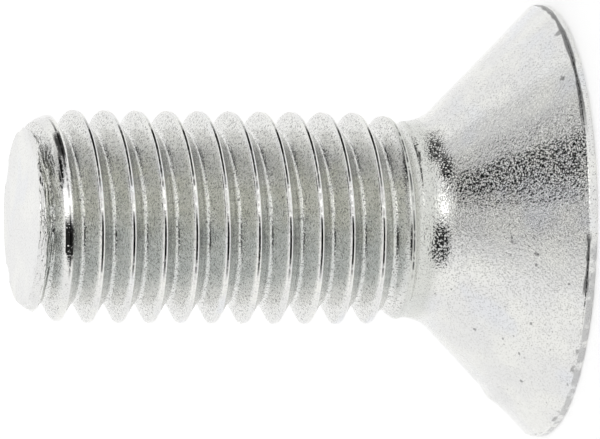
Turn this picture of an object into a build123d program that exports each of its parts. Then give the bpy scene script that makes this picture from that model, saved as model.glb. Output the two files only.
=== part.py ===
"""Countersunk socket screw, M12 x 30, with a right-hand coarse thread.

A real one is headed cold from wire, thread-rolled and zinc plated, so it is one
solid. It stands on its head: the origin is the centre of the flat head face, and
+Z runs along the screw's axis to the tip. All sizes are in millimetres.
"""

from build123d import *
import os
from math import ceil, cos, pi, radians, sin, sqrt, tan

# The screw as a whole
overall_length = 29.5         # head face to tip face, for a nominal 30

# The rolled thread
thread_diameter = 11.7        # over the crests
thread_pitch = 1.75
depth_share = 0.6             # crest to root, as a share of the pitch
crest_share = 0.14            # width of the flat crest, as a share of the pitch
rise_share = 0.24             # how far rolling lifts a crest above the blank
thread_angle = 60.0           # between the two flanks of a groove
winding_height = 0.42         # where the crest, wound on down, would cross +X
runout_length = 2.4           # over which the grooves fade out at the neck
lead_in_length = 2.8          # over which the crests curve down to the tip
lead_in_depth = 1.0           # radius that they lose on the way

# The countersunk head and its neck
head_diameter = 23.9
head_angle = 90.0             # between opposite sides of the cone
land_height = 0.5             # straight rim between the cone and the head face
neck_fillet = 2.6             # from the cone into the shank
edge_break = 0.12             # worn-down corners of the land

# The hexagon socket, forged into the head face
socket_flats = 8.0            # across flats, for an 8 mm key
socket_depth = 4.6            # head face to the foot of the hexagon's corners
socket_point_angle = 120.0    # cone at the socket's bottom
mouth_angle = 120.0           # chamfer at the socket's mouth
mouth_margin = 0.15           # chamfer's reach past the hexagon's corners

# What follows from them
head_radius = head_diameter / 2
thread_radius = thread_diameter / 2
root_radius = thread_radius - depth_share * thread_pitch
shank_radius = thread_radius - rise_share * thread_pitch
cone_lean = radians(head_angle / 2)
cone_end = land_height + (head_radius - shank_radius) / tan(cone_lean)
neck_reach = neck_fillet * tan(cone_lean / 2)
neck_top = cone_end + neck_reach
thinnest = 0.02 * thread_pitch                # overlap that keeps two surfaces apart
lead_in_bend = (lead_in_length**2 + lead_in_depth**2) / (2 * lead_in_depth)


def turned(section):
    """Turn a section about the screw's axis; its x is the radius, its y the height."""
    return revolve(Plane.XZ * section, Axis.Z)


def headed_blank():
    """Head and neck, with the cone inside the thread on which its grooves run out."""
    buried_radius = root_radius - thinnest
    fade_slope = (shank_radius - root_radius) / runout_length
    buried_height = neck_top + (shank_radius - buried_radius) / fade_slope
    neck_foot = (shank_radius + neck_reach * sin(cone_lean), cone_end - neck_reach * cos(cone_lean))
    land_shoulder = (head_radius - edge_break * sin(cone_lean), land_height + edge_break * cos(cone_lean))
    sides = Polyline(
        (shank_radius, neck_top),
        (buried_radius, buried_height),
        (0, buried_height),
        (0, 0),
        (head_radius - edge_break, 0),
        (head_radius, edge_break),
        (head_radius, land_height - edge_break),
        land_shoulder,
        neck_foot,
    )
    neck = TangentArc(neck_foot, (shank_radius, neck_top), tangent=(-sin(cone_lean), cos(cone_lean)))
    return turned(make_face([sides, neck]))


def crest_radius(height):
    """Radius over the crest at a height: run-out at the neck, full thread, lead-in at the tip."""
    faded_radius = shank_radius - thinnest
    fade_slope = (thread_radius - faded_radius) / runout_length
    radius = min(thread_radius, faded_radius + fade_slope * (height - neck_top))
    into_lead_in = height - (overall_length - lead_in_length)
    if into_lead_in > 0:
        drop = lead_in_bend - sqrt(max(lead_in_bend**2 - into_lead_in**2, 0))
        radius = thread_radius - drop
    return max(radius, root_radius + thinnest)


def half_width(radius):
    """Half the width of the thread's ridge, along the axis, at a radius."""
    return crest_share * thread_pitch / 2 + (thread_radius - radius) * tan(radians(thread_angle / 2))


def ridge_corner(corner, turn):
    """One corner of the ridge's section (root, crest's foot, middle and top, root) at a turn."""
    height = winding_height + thread_pitch * turn
    side = (-1, -1, 0, 1, 1)[corner]
    radius = root_radius
    if corner in (1, 2, 3):
        radius = crest_radius(height + side * half_width(crest_radius(height)))
    height += side * half_width(radius)
    return Vector(radius * cos(2 * pi * turn), radius * sin(2 * pi * turn), height)


def ridge_edge(corner, turn):
    """The edge along one corner of the ridge, once round from a turn to the next."""
    steps = 12
    points = [ridge_corner(corner, turn + step / steps) for step in range(steps + 1)]
    radii = [Vector(point.X, point.Y, 0).length for point in points]
    if max(radii) - min(radii) < 0.001 * thinnest:
        helix = Edge.make_helix(thread_pitch, thread_pitch, radii[0], center=(0, 0, points[0].Z))
        return helix.rotate(Axis.Z, 360 * turn)
    nudge = 0.0001
    leaving = ridge_corner(corner, turn + nudge) - points[0]
    arriving = points[-1] - ridge_corner(corner, turn + 1 - nudge)
    tangents = [leaving.normalized(), arriving.normalized()]
    return Edge.make_spline(points, tangents=tangents, scale=False)


def ramp_end(corner, turn):
    """The screw-shaped ramp, from the axis to a root, that closes the winding's end."""
    height = ridge_corner(corner, turn).Z
    axis_edge = Edge.make_line((0, 0, height), (0, 0, height + thread_pitch))
    return Face.make_surface_from_curves(axis_edge, ridge_edge(corner, turn))


def step_face(points):
    """The flat step between the two ends of a ramp: the thread's section, carried to the axis."""
    return Face(Wire.make_polygon([(0, 0, points[0].Z), *points, (0, 0, points[-1].Z)], close=True))


def threaded_shank():
    """The thread with its core, built face by face up its winding and cut off flat at the tip."""
    turns_to_cone = ceil((overall_length - cone_end) / thread_pitch)
    first_turn = (overall_length - winding_height) / thread_pitch - turns_to_cone
    last_turn = first_turn + turns_to_cone
    faces = []
    for turn in [first_turn + number for number in range(turns_to_cone + 1)]:
        edges = [ridge_edge(corner, turn) for corner in range(5)]
        if turn > first_turn:
            faces.append(Face.make_surface_from_curves(root_edge, edges[0]))
        for lower, upper in zip(edges, edges[1:]):
            faces.append(Face.make_surface_from_curves(lower, upper))
        root_edge = edges[4]
    first_section = [ridge_corner(corner, first_turn) for corner in range(5)]
    last_section = [ridge_corner(corner, last_turn + 1) for corner in range(5)]
    faces.append(ramp_end(0, first_turn))
    faces.append(step_face([*first_section, ridge_corner(0, first_turn + 1)]))
    faces.append(ramp_end(4, last_turn))
    faces.append(step_face([ridge_corner(4, last_turn), *last_section]))
    winding = Solid(Shell(faces))
    return split(winding, bisect_by=Plane.XY.offset(overall_length), keep=Keep.BOTTOM)


def hexagon_socket():
    """The punch that forges the socket: a hexagon with a blunt conical nose."""
    corner_radius = socket_flats / sqrt(3)
    nose_slope = tan(radians(socket_point_angle / 2))
    nose_end = socket_depth + corner_radius / nose_slope
    outer_radius = 1.2 * corner_radius
    nose = turned(
        make_face(
            Polyline(
                (0, 0),
                (outer_radius, 0),
                (outer_radius, nose_end - outer_radius / nose_slope),
                (0, nose_end),
                close=True,
            )
        )
    )
    prism = extrude(RegularPolygon(corner_radius, 6), nose_end)
    mouth_radius = corner_radius + mouth_margin
    mouth_height = mouth_radius / tan(radians(mouth_angle / 2))
    mouth = Cone(
        mouth_radius,
        0,
        mouth_height,
        align=(Align.CENTER, Align.CENTER, Align.MIN),
    )
    return (prism & nose) + mouth


screw = headed_blank() + threaded_shank() - hexagon_socket()

os.makedirs("parts", exist_ok=True)
export_step(screw, "parts/countersunk_socket_screw.step")
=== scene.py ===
from math import atan2, ceil, cos, hypot, pi, radians, sin, sqrt, tan

import bpy
from mathutils import Matrix, Vector, noise


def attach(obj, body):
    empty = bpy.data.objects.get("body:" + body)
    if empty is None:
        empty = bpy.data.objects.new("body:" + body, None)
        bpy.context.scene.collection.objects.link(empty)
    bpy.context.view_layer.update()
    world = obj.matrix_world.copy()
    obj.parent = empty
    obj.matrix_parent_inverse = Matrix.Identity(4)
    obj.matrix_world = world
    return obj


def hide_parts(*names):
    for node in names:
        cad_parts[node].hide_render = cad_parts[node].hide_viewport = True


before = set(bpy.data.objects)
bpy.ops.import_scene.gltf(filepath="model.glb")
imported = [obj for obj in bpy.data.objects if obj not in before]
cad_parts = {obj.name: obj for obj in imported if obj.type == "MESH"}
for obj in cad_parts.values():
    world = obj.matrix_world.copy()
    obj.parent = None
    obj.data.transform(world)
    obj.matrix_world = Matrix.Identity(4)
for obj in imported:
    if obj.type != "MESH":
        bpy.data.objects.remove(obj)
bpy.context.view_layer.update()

scene = bpy.context.scene
mm = 0.001


# The rolled thread: M12 coarse, right hand, on a shank of cold-headed steel. Flat
# dies press the roots in and squeeze the crests up, so each crest ends in two lips,
# the one toward the head rolled over a little, with a shallow seam between them.
thread_radius = 5.85 * mm
thread_pitch = 1.75 * mm
root_radius = 4.80 * mm
root_rounding = 0.24 * mm
root_steps = 4
flank_angle = radians(30)
shank_radius = 5.43 * mm      # the blank's, before it is rolled
screw_length = 29.5 * mm
crest_width = 0.24 * mm
shoulder_drop = 0.05 * mm     # from the crest down to where a lip meets its flank
shoulder_width = 0.02 * mm    # how far that place stands out from the crest's edge
seam_depth = 0.045 * mm
first_crest = 0.424 * mm      # height at which the crest, wound on down, would cross +X
turns_below = 3               # turns left out under the winding, where the head will be
steps_per_turn = 144
lips = [                      # depth below the crest, and rise from its lower edge
    (0.010 * mm, 0),
    (0, 0.02 * mm),
    (0, 0.06 * mm),
    (0.006 * mm, 0.075 * mm),
    (0.85 * seam_depth, 0.145 * mm),
    (seam_depth, 0.16 * mm),
    (0.2 * seam_depth, 0.172 * mm),
    (0, 0.185 * mm),
    (0.004 * mm, 0.22 * mm),
]


def pitch_outline():
    """One pitch of the thread's outline, from a root's middle up to the next: (radius, height)."""
    root = []
    for step in range(root_steps + 1):
        turn = (pi / 2 - flank_angle) * step / root_steps
        radius = root_radius + root_rounding * (1 - cos(turn))
        root.append((radius, thread_pitch / 2 - root_rounding * sin(turn)))
    foot = root[-1]
    shoulder = (thread_radius - shoulder_drop, crest_width / 2 + shoulder_width)
    flank = []
    for share in (0.25, 0.5, 0.75):
        radius = foot[0] + (shoulder[0] - foot[0]) * share
        height = foot[1] + (shoulder[1] - foot[1]) * share
        flank.append((radius, height))
    upper = root + flank + [shoulder]
    lower = [(radius, -height) for radius, height in upper]
    crest = [(thread_radius - drop, rise - crest_width / 2) for drop, rise in lips]
    return lower + crest + upper[::-1]


def deselect():
    """Leave nothing selected, so that the next operator acts on its own piece alone."""
    bpy.ops.object.select_all(action="DESELECT")


def apply(piece, modifier):
    """Make the piece active and apply one of its modifiers."""
    bpy.context.view_layer.objects.active = piece
    bpy.ops.object.modifier_apply(modifier=modifier.name)


deselect()
outline = pitch_outline()
bpy.ops.mesh.primitive_plane_add(size=1 * mm, location=(0, 0, 0))
screw = bpy.context.object
screw.name = "zinc_plated_screw"
bpy.ops.object.mode_set(mode="EDIT")
bpy.ops.mesh.select_all(action="SELECT")
bpy.ops.mesh.merge(type="CENTER")
start_height = first_crest + turns_below * thread_pitch
place = Vector((outline[0][0], 0, start_height + outline[0][1]))
bpy.ops.transform.translate(value=place)
for radius, height in outline[1:]:
    there = Vector((radius, 0, start_height + height))
    bpy.ops.mesh.extrude_region_move(TRANSFORM_OT_translate={"value": there - place})
    place = there
bpy.ops.object.mode_set(mode="OBJECT")

wind = screw.modifiers.new("wind", "SCREW")
wind.axis = "Z"
wind.angle = 2 * pi
wind.screw_offset = thread_pitch
wind.iterations = ceil((screw_length - start_height) / thread_pitch) + 1
wind.steps = steps_per_turn
wind.render_steps = steps_per_turn
wind.use_merge_vertices = True
wind.merge_threshold = 0.001 * mm
wind.use_smooth_shade = True
apply(screw, wind)
bpy.ops.object.mode_set(mode="EDIT")
bpy.ops.mesh.select_all(action="SELECT")
bpy.ops.mesh.remove_doubles(threshold=0.002 * mm)
bpy.ops.object.mode_set(mode="OBJECT")


# The neck and the tip, shaped by the same dies: the grooves fade out over the last
# turn and a half before the neck, and the crests curve down to the flat tip over the
# first one and a half.
neck_top = 8.10 * mm
runout_length = 2.5 * mm
runout_bend = 0.6             # under 1, so they start steeply at the neck and level off
lead_in_length = 2.8 * mm
tip_radius = 4.85 * mm
tip_rings = (0.955, 0.94)     # the rings in the tip face, each as a share of the last
hair = 0.0001 * mm            # within which a cut takes a point as lying on its plane


def limits(height):
    """The smallest and largest radius that the thread may have at a height."""
    fade = min(max((height - neck_top) / runout_length, 0.0), 1.0) ** runout_bend
    low = shank_radius + (root_radius - shank_radius) * fade
    high = shank_radius + (thread_radius - shank_radius) * fade
    into_lead = height - (screw_length - lead_in_length)
    if into_lead > 0:
        drop = thread_radius - tip_radius
        bend = (lead_in_length ** 2 + drop ** 2) / (2 * drop)
        high = thread_radius - bend + sqrt(max(bend ** 2 - into_lead ** 2, 0.0))
    return low, high


def select_faces(piece, wanted):
    """Go to edit mode with only those faces selected for which wanted says yes."""
    bpy.ops.object.mode_set(mode="EDIT")
    bpy.ops.mesh.select_mode(type="FACE")
    bpy.ops.mesh.select_all(action="DESELECT")
    bpy.ops.object.mode_set(mode="OBJECT")
    for face in piece.data.polygons:
        face.select = wanted(face)
    bpy.ops.object.mode_set(mode="EDIT")


for vertex in screw.data.vertices:
    x, y, z = vertex.co
    radius = hypot(x, y)
    low, high = limits(z)
    kept = min(radius, high)
    if z < neck_top + runout_length:
        kept = low + (radius - root_radius) * (high - low) / (thread_radius - root_radius)
    vertex.co.x *= kept / radius
    vertex.co.y *= kept / radius

bpy.ops.object.mode_set(mode="EDIT")
bpy.ops.mesh.select_all(action="SELECT")
bpy.ops.mesh.bisect(
    plane_co=(0, 0, screw_length), plane_no=(0, 0, 1), use_fill=True, clear_outer=True, threshold=hair
)
bpy.ops.mesh.select_all(action="SELECT")
bpy.ops.mesh.bisect(plane_co=(0, 0, neck_top), plane_no=(0, 0, 1), clear_inner=True, threshold=hair)
select_faces(screw, lambda face: face.center.z > screw_length - 0.001 * mm)
for narrower in tip_rings:
    bpy.ops.mesh.extrude_region_move(TRANSFORM_OT_translate={"value": (0, 0, 0)})
    bpy.ops.transform.resize(value=(narrower, narrower, 1), center_override=(0, 0, screw_length))
bpy.ops.object.mode_set(mode="OBJECT")


# The countersunk head: a 90 degree cone with a narrow land, upset on the end of
# the wire in the header, with a full fillet into the shank.
head_radius = 11.95 * mm
land_height = 0.5 * mm
cone_half_angle = radians(45)
cone_rings = 30
neck_fillet = 2.6 * mm
land_rounding = 0.16 * mm     # between the cone and the land
rim_rounding = 0.12 * mm      # between the land and the head face


def arc(centre, radius, first, last, steps):
    """Points round an arc in the (radius, height) plane, its angles counted from outward."""
    points = []
    for step in range(steps + 1):
        turn = first + (last - first) * step / steps
        points.append((centre[0] + radius * cos(turn), centre[1] + radius * sin(turn)))
    return points


def head_outline():
    """The head from the neck to the head face: (radius, height)."""
    neck = arc((shank_radius + neck_fillet, neck_top), neck_fillet, pi, pi + cone_half_angle, 14)
    reach = land_rounding * tan(cone_half_angle / 2)
    shoulder_centre = (head_radius - land_rounding, land_height - reach)
    shoulder = arc(shoulder_centre, land_rounding, cone_half_angle, 0, 6)
    foot, rim = neck[-1], shoulder[0]
    cone = []
    for step in range(1, cone_rings):
        share = step / cone_rings
        cone.append((foot[0] + (rim[0] - foot[0]) * share, foot[1] + (rim[1] - foot[1]) * share))
    edge = arc((head_radius - rim_rounding, rim_rounding), rim_rounding, 0, -pi / 2, 4)
    return neck[1:] + cone + shoulder + edge


def select_open_rim():
    """Select the edges round the open end of the piece that is in edit mode."""
    bpy.ops.mesh.select_mode(type="EDGE")
    bpy.ops.mesh.select_all(action="DESELECT")
    bpy.ops.mesh.select_non_manifold(extend=False, use_wire=False, use_boundary=True,
                                     use_multi_face=False, use_non_contiguous=False, use_verts=False)


bpy.ops.object.mode_set(mode="EDIT")
select_open_rim()
radius_now, height_now = shank_radius, neck_top
for radius, height in head_outline():
    bpy.ops.mesh.extrude_edges_move(TRANSFORM_OT_translate={"value": (0, 0, height - height_now)})
    grow = radius / radius_now
    bpy.ops.transform.resize(value=(grow, grow, 1), center_override=(0, 0, height))
    radius_now, height_now = radius, height
bpy.ops.mesh.edge_face_add()
bpy.ops.mesh.select_mode(type="VERT")
bpy.ops.mesh.select_all(action="SELECT")
bpy.ops.mesh.remove_doubles(threshold=0.002 * mm)
bpy.ops.mesh.normals_make_consistent(inside=False)
bpy.ops.object.mode_set(mode="OBJECT")


# The hexagon socket: punched into the head face, 8 mm across flats, with a blunt
# conical bottom and a light chamfer at its mouth, both of 120 degrees.
socket_flats = 8.0 * mm
socket_depth = 4.6 * mm       # head face to the foot of the hexagon's corners
mouth_margin = 0.15 * mm      # the chamfer's reach past the hexagon's corners
nose_half_angle = radians(60)
round_steps = 96
punch_clear = 2 * mm          # how far each tool stands out of the head face
nose_clear = 3 * mm
mouth_clear = 0.5 * mm
corner_radius = socket_flats / sqrt(3)
nose_slope = tan(nose_half_angle)
nose_end = socket_depth + corner_radius / nose_slope
nose_radius = 1.2 * corner_radius
nose_length = nose_radius / nose_slope
mouth_radius = corner_radius + mouth_margin
mouth_length = mouth_radius / nose_slope + mouth_clear

deselect()
bpy.ops.mesh.primitive_cylinder_add(
    vertices=6, radius=corner_radius, depth=nose_end + punch_clear,
    location=(0, 0, (nose_end - punch_clear) / 2), rotation=(0, 0, radians(30)),
)
punch = bpy.context.object
bpy.ops.object.transform_apply(location=True, rotation=True, scale=True)
deselect()
bpy.ops.mesh.primitive_cone_add(
    vertices=round_steps, radius1=nose_radius, radius2=0, depth=nose_length,
    location=(0, 0, nose_end - nose_length / 2),
)
nose = bpy.context.object
bpy.ops.object.transform_apply(location=True, rotation=True, scale=True)
select_faces(nose, lambda face: face.normal.z < -0.9)
bpy.ops.mesh.extrude_region_move(
    TRANSFORM_OT_translate={"value": (0, 0, -(nose_end - nose_length + nose_clear))}
)
bpy.ops.object.mode_set(mode="OBJECT")
trim = punch.modifiers.new("nose", "BOOLEAN")
trim.operation = "INTERSECT"
trim.solver = "EXACT"
trim.object = nose
apply(punch, trim)
bpy.data.objects.remove(nose)

deselect()
bpy.ops.mesh.primitive_cone_add(
    vertices=round_steps, radius1=mouth_radius + mouth_clear * nose_slope, radius2=0,
    depth=mouth_length, location=(0, 0, mouth_length / 2 - mouth_clear),
)
mouth = bpy.context.object
bpy.ops.object.transform_apply(location=True, rotation=True, scale=True)
for tool in (punch, mouth):
    cut = screw.modifiers.new("socket", "BOOLEAN")
    cut.operation = "DIFFERENCE"
    cut.solver = "EXACT"
    cut.object = tool
    apply(screw, cut)
    bpy.data.objects.remove(tool)

# The cuts leave slivers in the socket's corners, which go before the screw is shaded.
crease_angle = radians(32)
deselect()
screw.select_set(True)
bpy.context.view_layer.objects.active = screw
bpy.ops.object.mode_set(mode="EDIT")
bpy.ops.mesh.select_mode(type="VERT")
bpy.ops.mesh.select_all(action="SELECT")
bpy.ops.mesh.remove_doubles(threshold=0.001 * mm)
bpy.ops.mesh.dissolve_degenerate(threshold=0.001 * mm)
bpy.ops.object.mode_set(mode="OBJECT")
bpy.ops.object.shade_smooth_by_angle(angle=crease_angle)


# The forged skin: the header leaves the steel about a hundredth of a millimetre
# uneven. One flake of scale was pressed onto the cone near the rim, and the tip's
# edge was nicked as the screws were tumbled together for plating.
broad_wave = 2.4 * mm
broad_height = 0.012 * mm
fine_wave = 0.55 * mm
fine_height = 0.005 * mm
flake_bearing = radians(-90)
flake_half_width = radians(14)
flake_top = 2.95 * mm
flake_length = 1.5 * mm
flake_rise = 0.36 * mm
flake_taper = 1.3             # over 1, so it thins out soonest behind its step
worn_height = 0.3 * mm        # how far down from the tip face the nicks reach
worn_radius = 4.75 * mm       # and how near to the axis
chip_down = 0.7               # how a nick's depth is shared between down
chip_inward = 0.5             # and inward
chips = [                     # bearing and half-width in degrees, and depth
    (57, 17, 0.22 * mm),
    (20, 5, 0.06 * mm),
    (-12, 6, 0.05 * mm),
    (-38, 8, 0.07 * mm),
    (-80, 12, 0.10 * mm),
    (100, 9, 0.09 * mm),
    (150, 10, 0.08 * mm),
    (-140, 8, 0.08 * mm),
]


def unevenness(place):
    """How far the forged skin stands off its true form at a place."""
    broad = noise.noise(place / broad_wave)
    fine = noise.noise(place / fine_wave + Vector((7, 3, 1)))
    return broad_height * broad + fine_height * fine


def bearing_of(place):
    """The angle round the axis from -Y toward +X."""
    return atan2(place.x, -place.y)


def flake(place):
    """The flake's rise off the cone: a step on its tip side that thins out toward the rim."""
    below = (flake_top - place.z) / flake_length
    if not 0 <= below <= 1:
        return 0.0
    off = (bearing_of(place) - flake_bearing) / flake_half_width
    return flake_rise * (1 - below) ** flake_taper * max(0.0, 1 - off ** 2)


def chip(place):
    """How deep the tip's edge is nicked at a place."""
    depth = 0.0
    for middle, half_width, deepest in chips:
        turned = bearing_of(place) - radians(middle)
        off = abs(atan2(sin(turned), cos(turned))) / radians(half_width)
        depth = max(depth, deepest * (1 - off ** 2))
    return depth


# Each point is marked, before it moves, as lying in a groove or in a crest's seam.
full_groove = 0.12 * mm       # depth below the crest at which a point is fully in a groove
seam_foot = -0.05 * mm        # the seam's reach, from the crest's middle toward the head
seam_top = 0.045 * mm         # and toward the tip
groove = screw.data.attributes.new("groove", "FLOAT", "POINT")
seam = screw.data.attributes.new("seam", "FLOAT", "POINT")
for vertex in screw.data.vertices:
    x, y, z = vertex.co
    if neck_top < z < screw_length - 0.01 * mm:
        below_crest = limits(z)[1] - hypot(x, y)
        groove.data[vertex.index].value = min(max(below_crest / full_groove, 0.0), 1.0)
        wound = z - first_crest - thread_pitch * atan2(y, x) / (2 * pi)
        off_crest = (wound / thread_pitch + 0.5) % 1 * thread_pitch - thread_pitch / 2
        if seam_foot < off_crest < seam_top:
            seam.data[vertex.index].value = 1.0

for vertex in screw.data.vertices:
    place = vertex.co.copy()
    radius = hypot(place.x, place.y)
    if place.z > screw_length - worn_height and radius > worn_radius:
        depth = chip(place)
        vertex.co.z -= depth * chip_down
        vertex.co.x -= place.x / radius * depth * chip_inward
        vertex.co.y -= place.y / radius * depth * chip_inward
    if radius < root_radius - 0.01 * mm or place.z < 0.02 * mm:
        continue
    stand_off = unevenness(place) + flake(place)
    if place.z > screw_length - 0.01 * mm:
        stand_off = 2 * min(stand_off, 0)
    vertex.co.x += place.x / radius * stand_off
    vertex.co.y += place.y / radius * stand_off


# The finish: bright zinc plating over forged steel. It is a little duller and
# yellow-green between the threads, where the passivation bath drains slowly, and its
# colour there is painted darker as shade in the grooves.
zinc = bpy.data.materials.new("zinc_plate")
zinc.use_nodes = True
nodes = zinc.node_tree.nodes
links = zinc.node_tree.links
shader = nodes["Principled BSDF"]
shader.inputs["Metallic"].default_value = 1.0
coords = nodes.new("ShaderNodeTexCoord").outputs["Object"]

clean_zinc = (0.79, 0.79, 0.78)
pale_zinc = (0.84, 0.84, 0.81)
bluish = (0.75, 0.77, 0.82)
neck_grey = (0.61, 0.62, 0.585)
# grey_green to groove_grey: the bath's tints, darkened as painted shade in the grooves
grey_green = (0.64, 0.66, 0.645)
yellow_green = (0.655, 0.66, 0.61)
groove_grey = (0.64, 0.645, 0.63)
frost_white = (0.76, 0.76, 0.74)
# a painted highlight for the flanks toward both sides
side_highlight_white = (0.84, 0.84, 0.82)
pit_brown = (0.16, 0.15, 0.14)
speck_grey = (0.26, 0.26, 0.25)
# painted shade for the corner by the land
painted_corner_shade_black = (0.10, 0.10, 0.10)
# painted shade for the crests' seam
painted_seam_shade_black = (0.07, 0.07, 0.07)
# a painted reflection of shade on one side of the land
painted_land_shade_grey = (0.50, 0.50, 0.50)
stain_grey = (0.17, 0.17, 0.17)


def feed(socket, value):
    """Link a node's input to another node's output, or set it to a plain number or colour."""
    if isinstance(value, bpy.types.NodeSocket):
        links.new(value, socket)
    elif isinstance(value, tuple):
        socket.default_value = (*value, 1)
    else:
        socket.default_value = value


def noise_at(scale, detail, roughness=0.5, distortion=0.0):
    """A noise pattern fixed to the screw; scale counts its features per metre."""
    pattern = nodes.new("ShaderNodeTexNoise")
    pattern.inputs["Scale"].default_value = scale
    pattern.inputs["Detail"].default_value = detail
    pattern.inputs["Roughness"].default_value = roughness
    pattern.inputs["Distortion"].default_value = distortion
    links.new(coords, pattern.inputs["Vector"])
    return pattern.outputs["Fac"]


def cells_at(scale):
    """A pattern of cells fixed to the screw; scale counts them per metre."""
    pattern = nodes.new("ShaderNodeTexVoronoi")
    pattern.inputs["Scale"].default_value = scale
    links.new(coords, pattern.inputs["Vector"])
    return pattern.outputs


def marked(name):
    """What the screw's points were marked with under a name."""
    reader = nodes.new("ShaderNodeAttribute")
    reader.attribute_name = name
    return reader.outputs["Fac"]


def ramp(source, low, high, start=0.0, stop=1.0):
    """Spread the part of a value between low and high over start to stop, with soft ends."""
    spread = nodes.new("ShaderNodeMapRange")
    spread.interpolation_type = "SMOOTHSTEP"
    spread.inputs["From Min"].default_value = low
    spread.inputs["From Max"].default_value = high
    spread.inputs["To Min"].default_value = start
    spread.inputs["To Max"].default_value = stop
    links.new(source, spread.inputs["Value"])
    return spread.outputs["Result"]


def maths(operation, first, second=0.0):
    """One sum on one or two values, each a node's output or a plain number."""
    node = nodes.new("ShaderNodeMath")
    node.operation = operation
    feed(node.inputs[0], first)
    feed(node.inputs[1], second)
    return node.outputs[0]


def plus(first, second):
    """Two values added."""
    return maths("ADD", first, second)


def minus(first, second):
    """The second value taken from the first."""
    return maths("SUBTRACT", first, second)


def times(first, second):
    """Two values multiplied."""
    return maths("MULTIPLY", first, second)


def distance(value, middle):
    """How far a value is from a number, either way."""
    return maths("ABSOLUTE", minus(value, middle))


def blend_colour(share, first, second):
    """Go from the first colour to the second as the share goes from 0 to 1."""
    node = nodes.new("ShaderNodeMix")
    node.data_type = "RGBA"
    links.new(share, node.inputs["Factor"])
    feed(node.inputs[6], first)
    feed(node.inputs[7], second)
    return node.outputs[2]


# Where on the screw a point is. The grooves run out at the neck, and count as none
# on the head.
apart = nodes.new("ShaderNodeSeparateXYZ")
links.new(coords, apart.inputs[0])
along_x, along_y, along_z = apart.outputs
across = maths("POWER", plus(maths("POWER", along_x, 2), maths("POWER", along_y, 2)), 0.5)
past_neck = ramp(along_z, neck_top - 0.1 * mm, neck_top + 1.1 * mm)
in_groove = times(past_neck, ramp(marked("groove"), 0.1, 1.0))
off_tip = ramp(along_z, screw_length - 0.3 * mm, screw_length - 0.05 * mm, 1, 0)

# Colour of the open sides: clean zinc, its faint interference tints, and a duller
# zone by the neck.
clean = blend_colour(ramp(noise_at(420, 2), 0.38, 0.62), clean_zinc, pale_zinc)
tinted = blend_colour(ramp(noise_at(300, 1, distortion=0.6), 0.55, 0.75, 0, 0.5), clean, bluish)
before_neck = ramp(along_z, neck_top - 1.2 * mm, neck_top - 0.4 * mm)
by_the_neck = times(before_neck, ramp(along_z, neck_top + 0.9 * mm, neck_top + 1.5 * mm, 0.75, 0))
tinted = blend_colour(by_the_neck, tinted, neck_grey)

# Colour of the grooves: their painted shade, the bath's drying line, a fine frost, and a
# painted highlight that brightens the flanks at both sides.
drying_line = plus(along_x, times(minus(noise_at(650, 2), 0.5), 7 * mm))
groove_tint_and_shade = blend_colour(ramp(drying_line, -2.6 * mm, 1.6 * mm), grey_green, yellow_green)
groove_tint_and_shade = blend_colour(ramp(drying_line, 1.4 * mm, 3.8 * mm), groove_tint_and_shade, groove_grey)
frost_and_side_highlight = blend_colour(ramp(noise_at(1700, 3, 0.6), 0.35, 0.68, 0, 0.45), groove_tint_and_shade, frost_white)
# Painted highlight: the flanks are painted brighter toward both sides.
outward = plus(maths("ABSOLUTE", along_x), times(noise_at(1500, 2), 1.2 * mm))
frost_and_side_highlight = blend_colour(ramp(outward, 3.7 * mm, 5.4 * mm), frost_and_side_highlight, side_highlight_white)
plated = blend_colour(in_groove, tinted, frost_and_side_highlight)

# Dark pits in clusters, none of them on the tip, and fine specks, most in the grooves.
pit_shape = ramp(cells_at(1900)["Distance"], 0.04, 0.12, 1, 0)
pit_chosen = ramp(plus(noise_at(700, 1), times(in_groove, 0.06)), 0.47, 0.58)
pits = times(times(pit_shape, pit_chosen), off_tip)
pitted = blend_colour(times(pits, 0.7), plated, pit_brown)
specks = ramp(noise_at(9500, 1), 0.53, 0.68, 0, 0.75)
specks = times(specks, plus(times(in_groove, 0.7), 0.3))
speckled = blend_colour(specks, pitted, speck_grey)

# A painted dark line of shade in the corner between the cone and the land, on three
# stretches of the rim.
line_width = ramp(noise_at(600, 2), 0.35, 0.65, 0.08 * mm, 0.17 * mm)
in_corner = ramp(maths("DIVIDE", distance(along_z, land_height - 0.01 * mm), line_width), 0.6, 1.1, 1, 0)
at_rim = ramp(across, head_radius - 0.75 * mm, head_radius - 0.45 * mm)
upper_stretch = ramp(along_x, 4.2 * mm, 6.6 * mm)
lower_stretch = ramp(distance(along_x, -2.4 * mm), 1.3 * mm, 1.9 * mm, 1, 0)
last_stretch = times(ramp(along_x, -7.0 * mm, -5.0 * mm, 0.6, 0), ramp(noise_at(1300, 2), 0.5, 0.62))
stretches = maths("MAXIMUM", maths("MAXIMUM", upper_stretch, lower_stretch), last_stretch)
painted_corner_shade = times(times(in_corner, at_rim), stretches)
corner_shaded = blend_colour(times(painted_corner_shade, 0.85), speckled, painted_corner_shade_black)

# Painted shade, as dark as the corner's, fills the seam along the crests in long dashes.
past_gap = ramp(distance(along_x, 0.9 * mm), 0.3 * mm, 1.3 * mm, 0.5, 1)
short_of_sides = ramp(distance(along_x, 1.0 * mm), 3.6 * mm, 4.6 * mm, 1, 0)
dashes = ramp(noise_at(2600, 2), 0.38, 0.52, 0.2, 1)
painted_seam_shade = times(times(past_gap, short_of_sides), dashes)
painted_seam_shade = times(painted_seam_shade, times(marked("seam"), off_tip))
seam_shaded = blend_colour(times(painted_seam_shade, 0.9), corner_shaded, painted_seam_shade_black)

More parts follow.
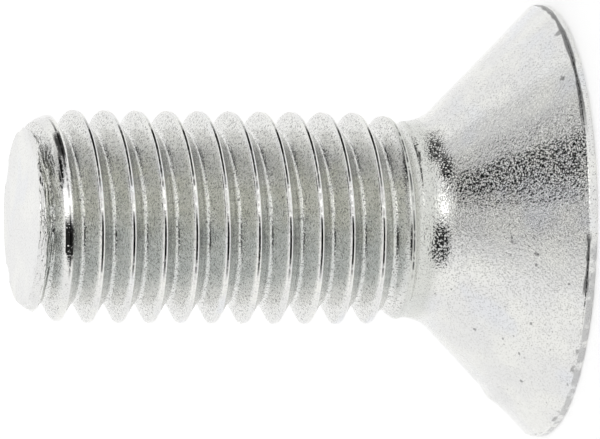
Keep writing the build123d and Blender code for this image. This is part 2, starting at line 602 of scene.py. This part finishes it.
# A painted reflection of shade: one side of the land is painted a duller grey.
on_land = ramp(along_z, land_height - 0.14 * mm, land_height - 0.04 * mm, 0.85, 0)
on_land = times(on_land, ramp(across, head_radius - 0.2 * mm, head_radius - 0.1 * mm))
shaded_side = ramp(along_x, -1.8 * mm, -0.6 * mm, 1, 0)
painted_land_shade = times(times(on_land, shaded_side), ramp(noise_at(1600, 3, 0.6), 0.36, 0.56))
land_shaded = blend_colour(painted_land_shade, seam_shaded, painted_land_shade_grey)

# Stains and nicks that handling left on the cone: the place and size of each, in mm.
marks = [
    ((10.30, -5.72, 0.67), 0.26),
    ((7.77, -8.23, 1.13), 0.18),
    ((-1.88, -9.45, 2.81), 0.13),
    ((-2.49, -9.30, 2.83), 0.08),
    ((-1.95, -8.23, 3.99), 0.09),
    ((-0.95, -8.45, 3.94), 0.09),
    ((-1.23, -8.43, 3.93), 0.08),
    ((-6.04, -4.40, 4.98), 0.10),
    ((-6.52, -5.80, 3.72), 0.10),
    ((-5.68, -7.92, 2.70), 0.08),
    ((-7.34, -6.13, 2.89), 0.08),
    ((-8.83, -4.74, 2.43), 0.11),
    ((-3.46, -10.63, 1.27), 0.07),
]
ragged = times(minus(noise_at(4200, 2), 0.5), 0.35 * mm)
handled = 0.0
for middle, size in marks:
    away = nodes.new("ShaderNodeVectorMath")
    away.operation = "DISTANCE"
    links.new(coords, away.inputs[0])
    away.inputs[1].default_value = Vector(middle) * mm
    edge = plus(away.outputs["Value"], ragged)
    handled = maths("MAXIMUM", handled, ramp(edge, 0.6 * size * mm, 1.2 * size * mm, 1, 0))
blemished = blend_colour(times(handled, 0.68), land_shaded, stain_grey)
links.new(blemished, shader.inputs["Base Color"])

# Sheen: the skin under the plating is finely grained, and rolled smoother along the
# crests. The pits are sunk into it, and the grooves are duller.
dulled = ramp(in_groove, 0, 1, 0.065, 0.20)
links.new(dulled, shader.inputs["Roughness"])
grain_cells = cells_at(9500)
grain_size = nodes.new("ShaderNodeSeparateColor")
links.new(grain_cells["Color"], grain_size.inputs[0])
proud = times(ramp(grain_cells["Distance"], 0.05, 0.5, 1, 0), grain_size.outputs[0])
grain = plus(times(noise_at(7000, 1.5, 0.6), 0.9), times(proud, 1.6))
rolled = minus(ramp(along_z, neck_top - 0.1 * mm, neck_top + 0.7 * mm), times(in_groove, 0.6))
grain = times(grain, minus(1.0, times(rolled, 0.85)))
relief = minus(grain, times(pits, 2.0))

# The folds that rolling leaves round the tip, three or four to the millimetre.
fold_pitch = 0.29 * mm
fold_height = plus(along_z, times(noise_at(520, 2), 0.55 * mm))
folds = maths("SINE", times(fold_height, 2 * pi / fold_pitch))
folds = times(folds, ramp(noise_at(1300, 2), 0.36, 0.58, 0.15, 1.25))
folds = times(folds, ramp(maths("ABSOLUTE", along_x), 3.2 * mm, 4.6 * mm, 1, 0.2))
by_the_tip = ramp(along_z, screw_length - 0.95 * mm, screw_length - 0.7 * mm)
by_the_tip = times(by_the_tip, ramp(across, 4.7 * mm, 4.8 * mm))
relief = plus(relief, times(times(folds, by_the_tip), 2.2))
bump = nodes.new("ShaderNodeBump")
bump.inputs["Strength"].default_value = 0.9
bump.inputs["Distance"].default_value = 0.028 * mm
links.new(relief, bump.inputs["Height"])
links.new(bump.outputs["Normal"], shader.inputs["Normal"])

screw.data.materials.clear()
screw.data.materials.append(zinc)
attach(screw, "root")
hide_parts("countersunk_socket_screw")


# The floor: a plain pale table that keeps the screw's shadow. A little light of
# its own brings it up to white where the camera or the metal sees it.
floor_gap = 0.02 * mm         # keeps the head face clear of the table top
table_glow = 0.45
deselect()
bpy.ops.mesh.primitive_plane_add(size=6, location=(0, 0, -floor_gap))
floor = bpy.context.object
floor.name = "pale_floor"
table = bpy.data.materials.new("pale_floor")
table.use_nodes = True
nodes = table.node_tree.nodes
links = table.node_tree.links
matt = nodes["Principled BSDF"]
matt.inputs["Base Color"].default_value = (0.80, 0.80, 0.80, 1)
matt.inputs["Roughness"].default_value = 1.0
matt.inputs["Specular IOR Level"].default_value = 0.0
path = nodes.new("ShaderNodeLightPath")
seen = maths("MAXIMUM", path.outputs["Is Camera Ray"], path.outputs["Is Glossy Ray"])
matt.inputs["Emission Color"].default_value = (1, 1, 1, 1)
links.new(times(seen, table_glow), matt.inputs["Emission Strength"])
floor.data.materials.append(table)


# The light: a tent of pale cloth with a small soft lamp in front of it. Its roof is
# mottled, a panel on the +X side is grey, and the gaps between its cloths are dark.
studio = bpy.data.worlds.new("studio")
scene.world = studio
studio.use_nodes = True
nodes = studio.node_tree.nodes
links = studio.node_tree.links
background = nodes["Background"]
direction = nodes.new("ShaderNodeTexCoord").outputs["Generated"]


def toward(bearing, rise):
    """The direction at a bearing from the camera's side toward +X, and a rise from level."""
    bearing, rise = radians(bearing), radians(rise)
    return Vector((sin(bearing) * cos(rise), -cos(bearing) * cos(rise), sin(rise)))


def blend_strength(share, first, second):
    """Go from the first strength of light to the second as the share goes from 0 to 1."""
    node = nodes.new("ShaderNodeMix")
    node.data_type = "FLOAT"
    links.new(share, node.inputs["Factor"])
    feed(node.inputs[2], first)
    feed(node.inputs[3], second)
    return node.outputs[0]


def hang(tent, bearing, rise, reach, edge, strength):
    """Hang a round, soft-edged patch of another strength in the tent."""
    facing = nodes.new("ShaderNodeVectorMath")
    facing.operation = "DOT_PRODUCT"
    links.new(direction, facing.inputs[0])
    facing.inputs[1].default_value = toward(bearing, rise)
    outer = cos(radians(reach + edge))
    inner = cos(radians(max(reach - edge, 0)))
    return blend_strength(ramp(facing.outputs["Value"], outer, inner), tent, strength)


roof_cloth = nodes.new("ShaderNodeTexNoise")
roof_cloth.inputs["Scale"].default_value = 10
roof_cloth.inputs["Detail"].default_value = 2
links.new(direction, roof_cloth.inputs["Vector"])
roof = ramp(roof_cloth.outputs["Fac"], 0.45, 0.55, 0.02, 1.05)
patches = [                   # bearing, rise, reach and edge in degrees, and strength
    (94, 57, 18, 11, 0.66),   # the grey panel
    (15, 71, 21, 9, roof),    # the roof
    (-30, 27, 22, 6, 0.02),   # four gaps
    (66, 68.5, 11, 3, 0.01),
    (64, 39, 16, 5, 0.01),
    (90, 12, 20, 6, 0.06),
    (17, 32, 13, 5, 1.6),     # the lamp
]
tent = 1.0
for patch in patches:
    tent = hang(tent, *patch)
shown = nodes.new("ShaderNodeLightPath")
backdrop = blend_strength(shown.outputs["Is Camera Ray"], tent, 1.0)
links.new(backdrop, background.inputs["Strength"])
background.inputs["Color"].default_value = (1, 1, 1, 1)


# The camera: it looks at the middle of the screw from 13 degrees above the floor,
# and is turned on its side, so that the tip points left.
half_way_up = Vector((0, 0, 15 * mm))
image_width = 600             # in pixels
pixels_per_mm = 18.155
pixels_across = 20.56         # from half way up the screw to the image's middle
pixels_up = -1.44
centre_across = pixels_across / pixels_per_mm * mm
centre_up = pixels_up / pixels_per_mm * mm
camera_distance = 590 * mm
camera_rise = radians(13.3)
camera_roll = radians(0.445)

toward_camera = Vector((0, -cos(camera_rise), sin(camera_rise)))
image_up = Vector((1, 0, 0))
image_right = (-toward_camera).cross(image_up)
aim = half_way_up + image_right * centre_across + image_up * centre_up
turned_right = image_right * cos(camera_roll) + image_up * sin(camera_roll)
turned_up = image_up * cos(camera_roll) - image_right * sin(camera_roll)
camera_data = bpy.data.cameras.new("camera")
camera = bpy.data.objects.new("camera", camera_data)
scene.collection.objects.link(camera)
aimed = Matrix((turned_right, turned_up, toward_camera)).transposed().to_4x4()
camera.matrix_world = Matrix.Translation(aim + toward_camera * camera_distance) @ aimed
camera_data.sensor_width = 36
camera_data.lens = pixels_per_mm * camera_distance / mm * camera_data.sensor_width / image_width
camera_data.clip_start = 0.01
camera_data.clip_end = 100
scene.camera = camera

scene.view_settings.view_transform = "Standard"
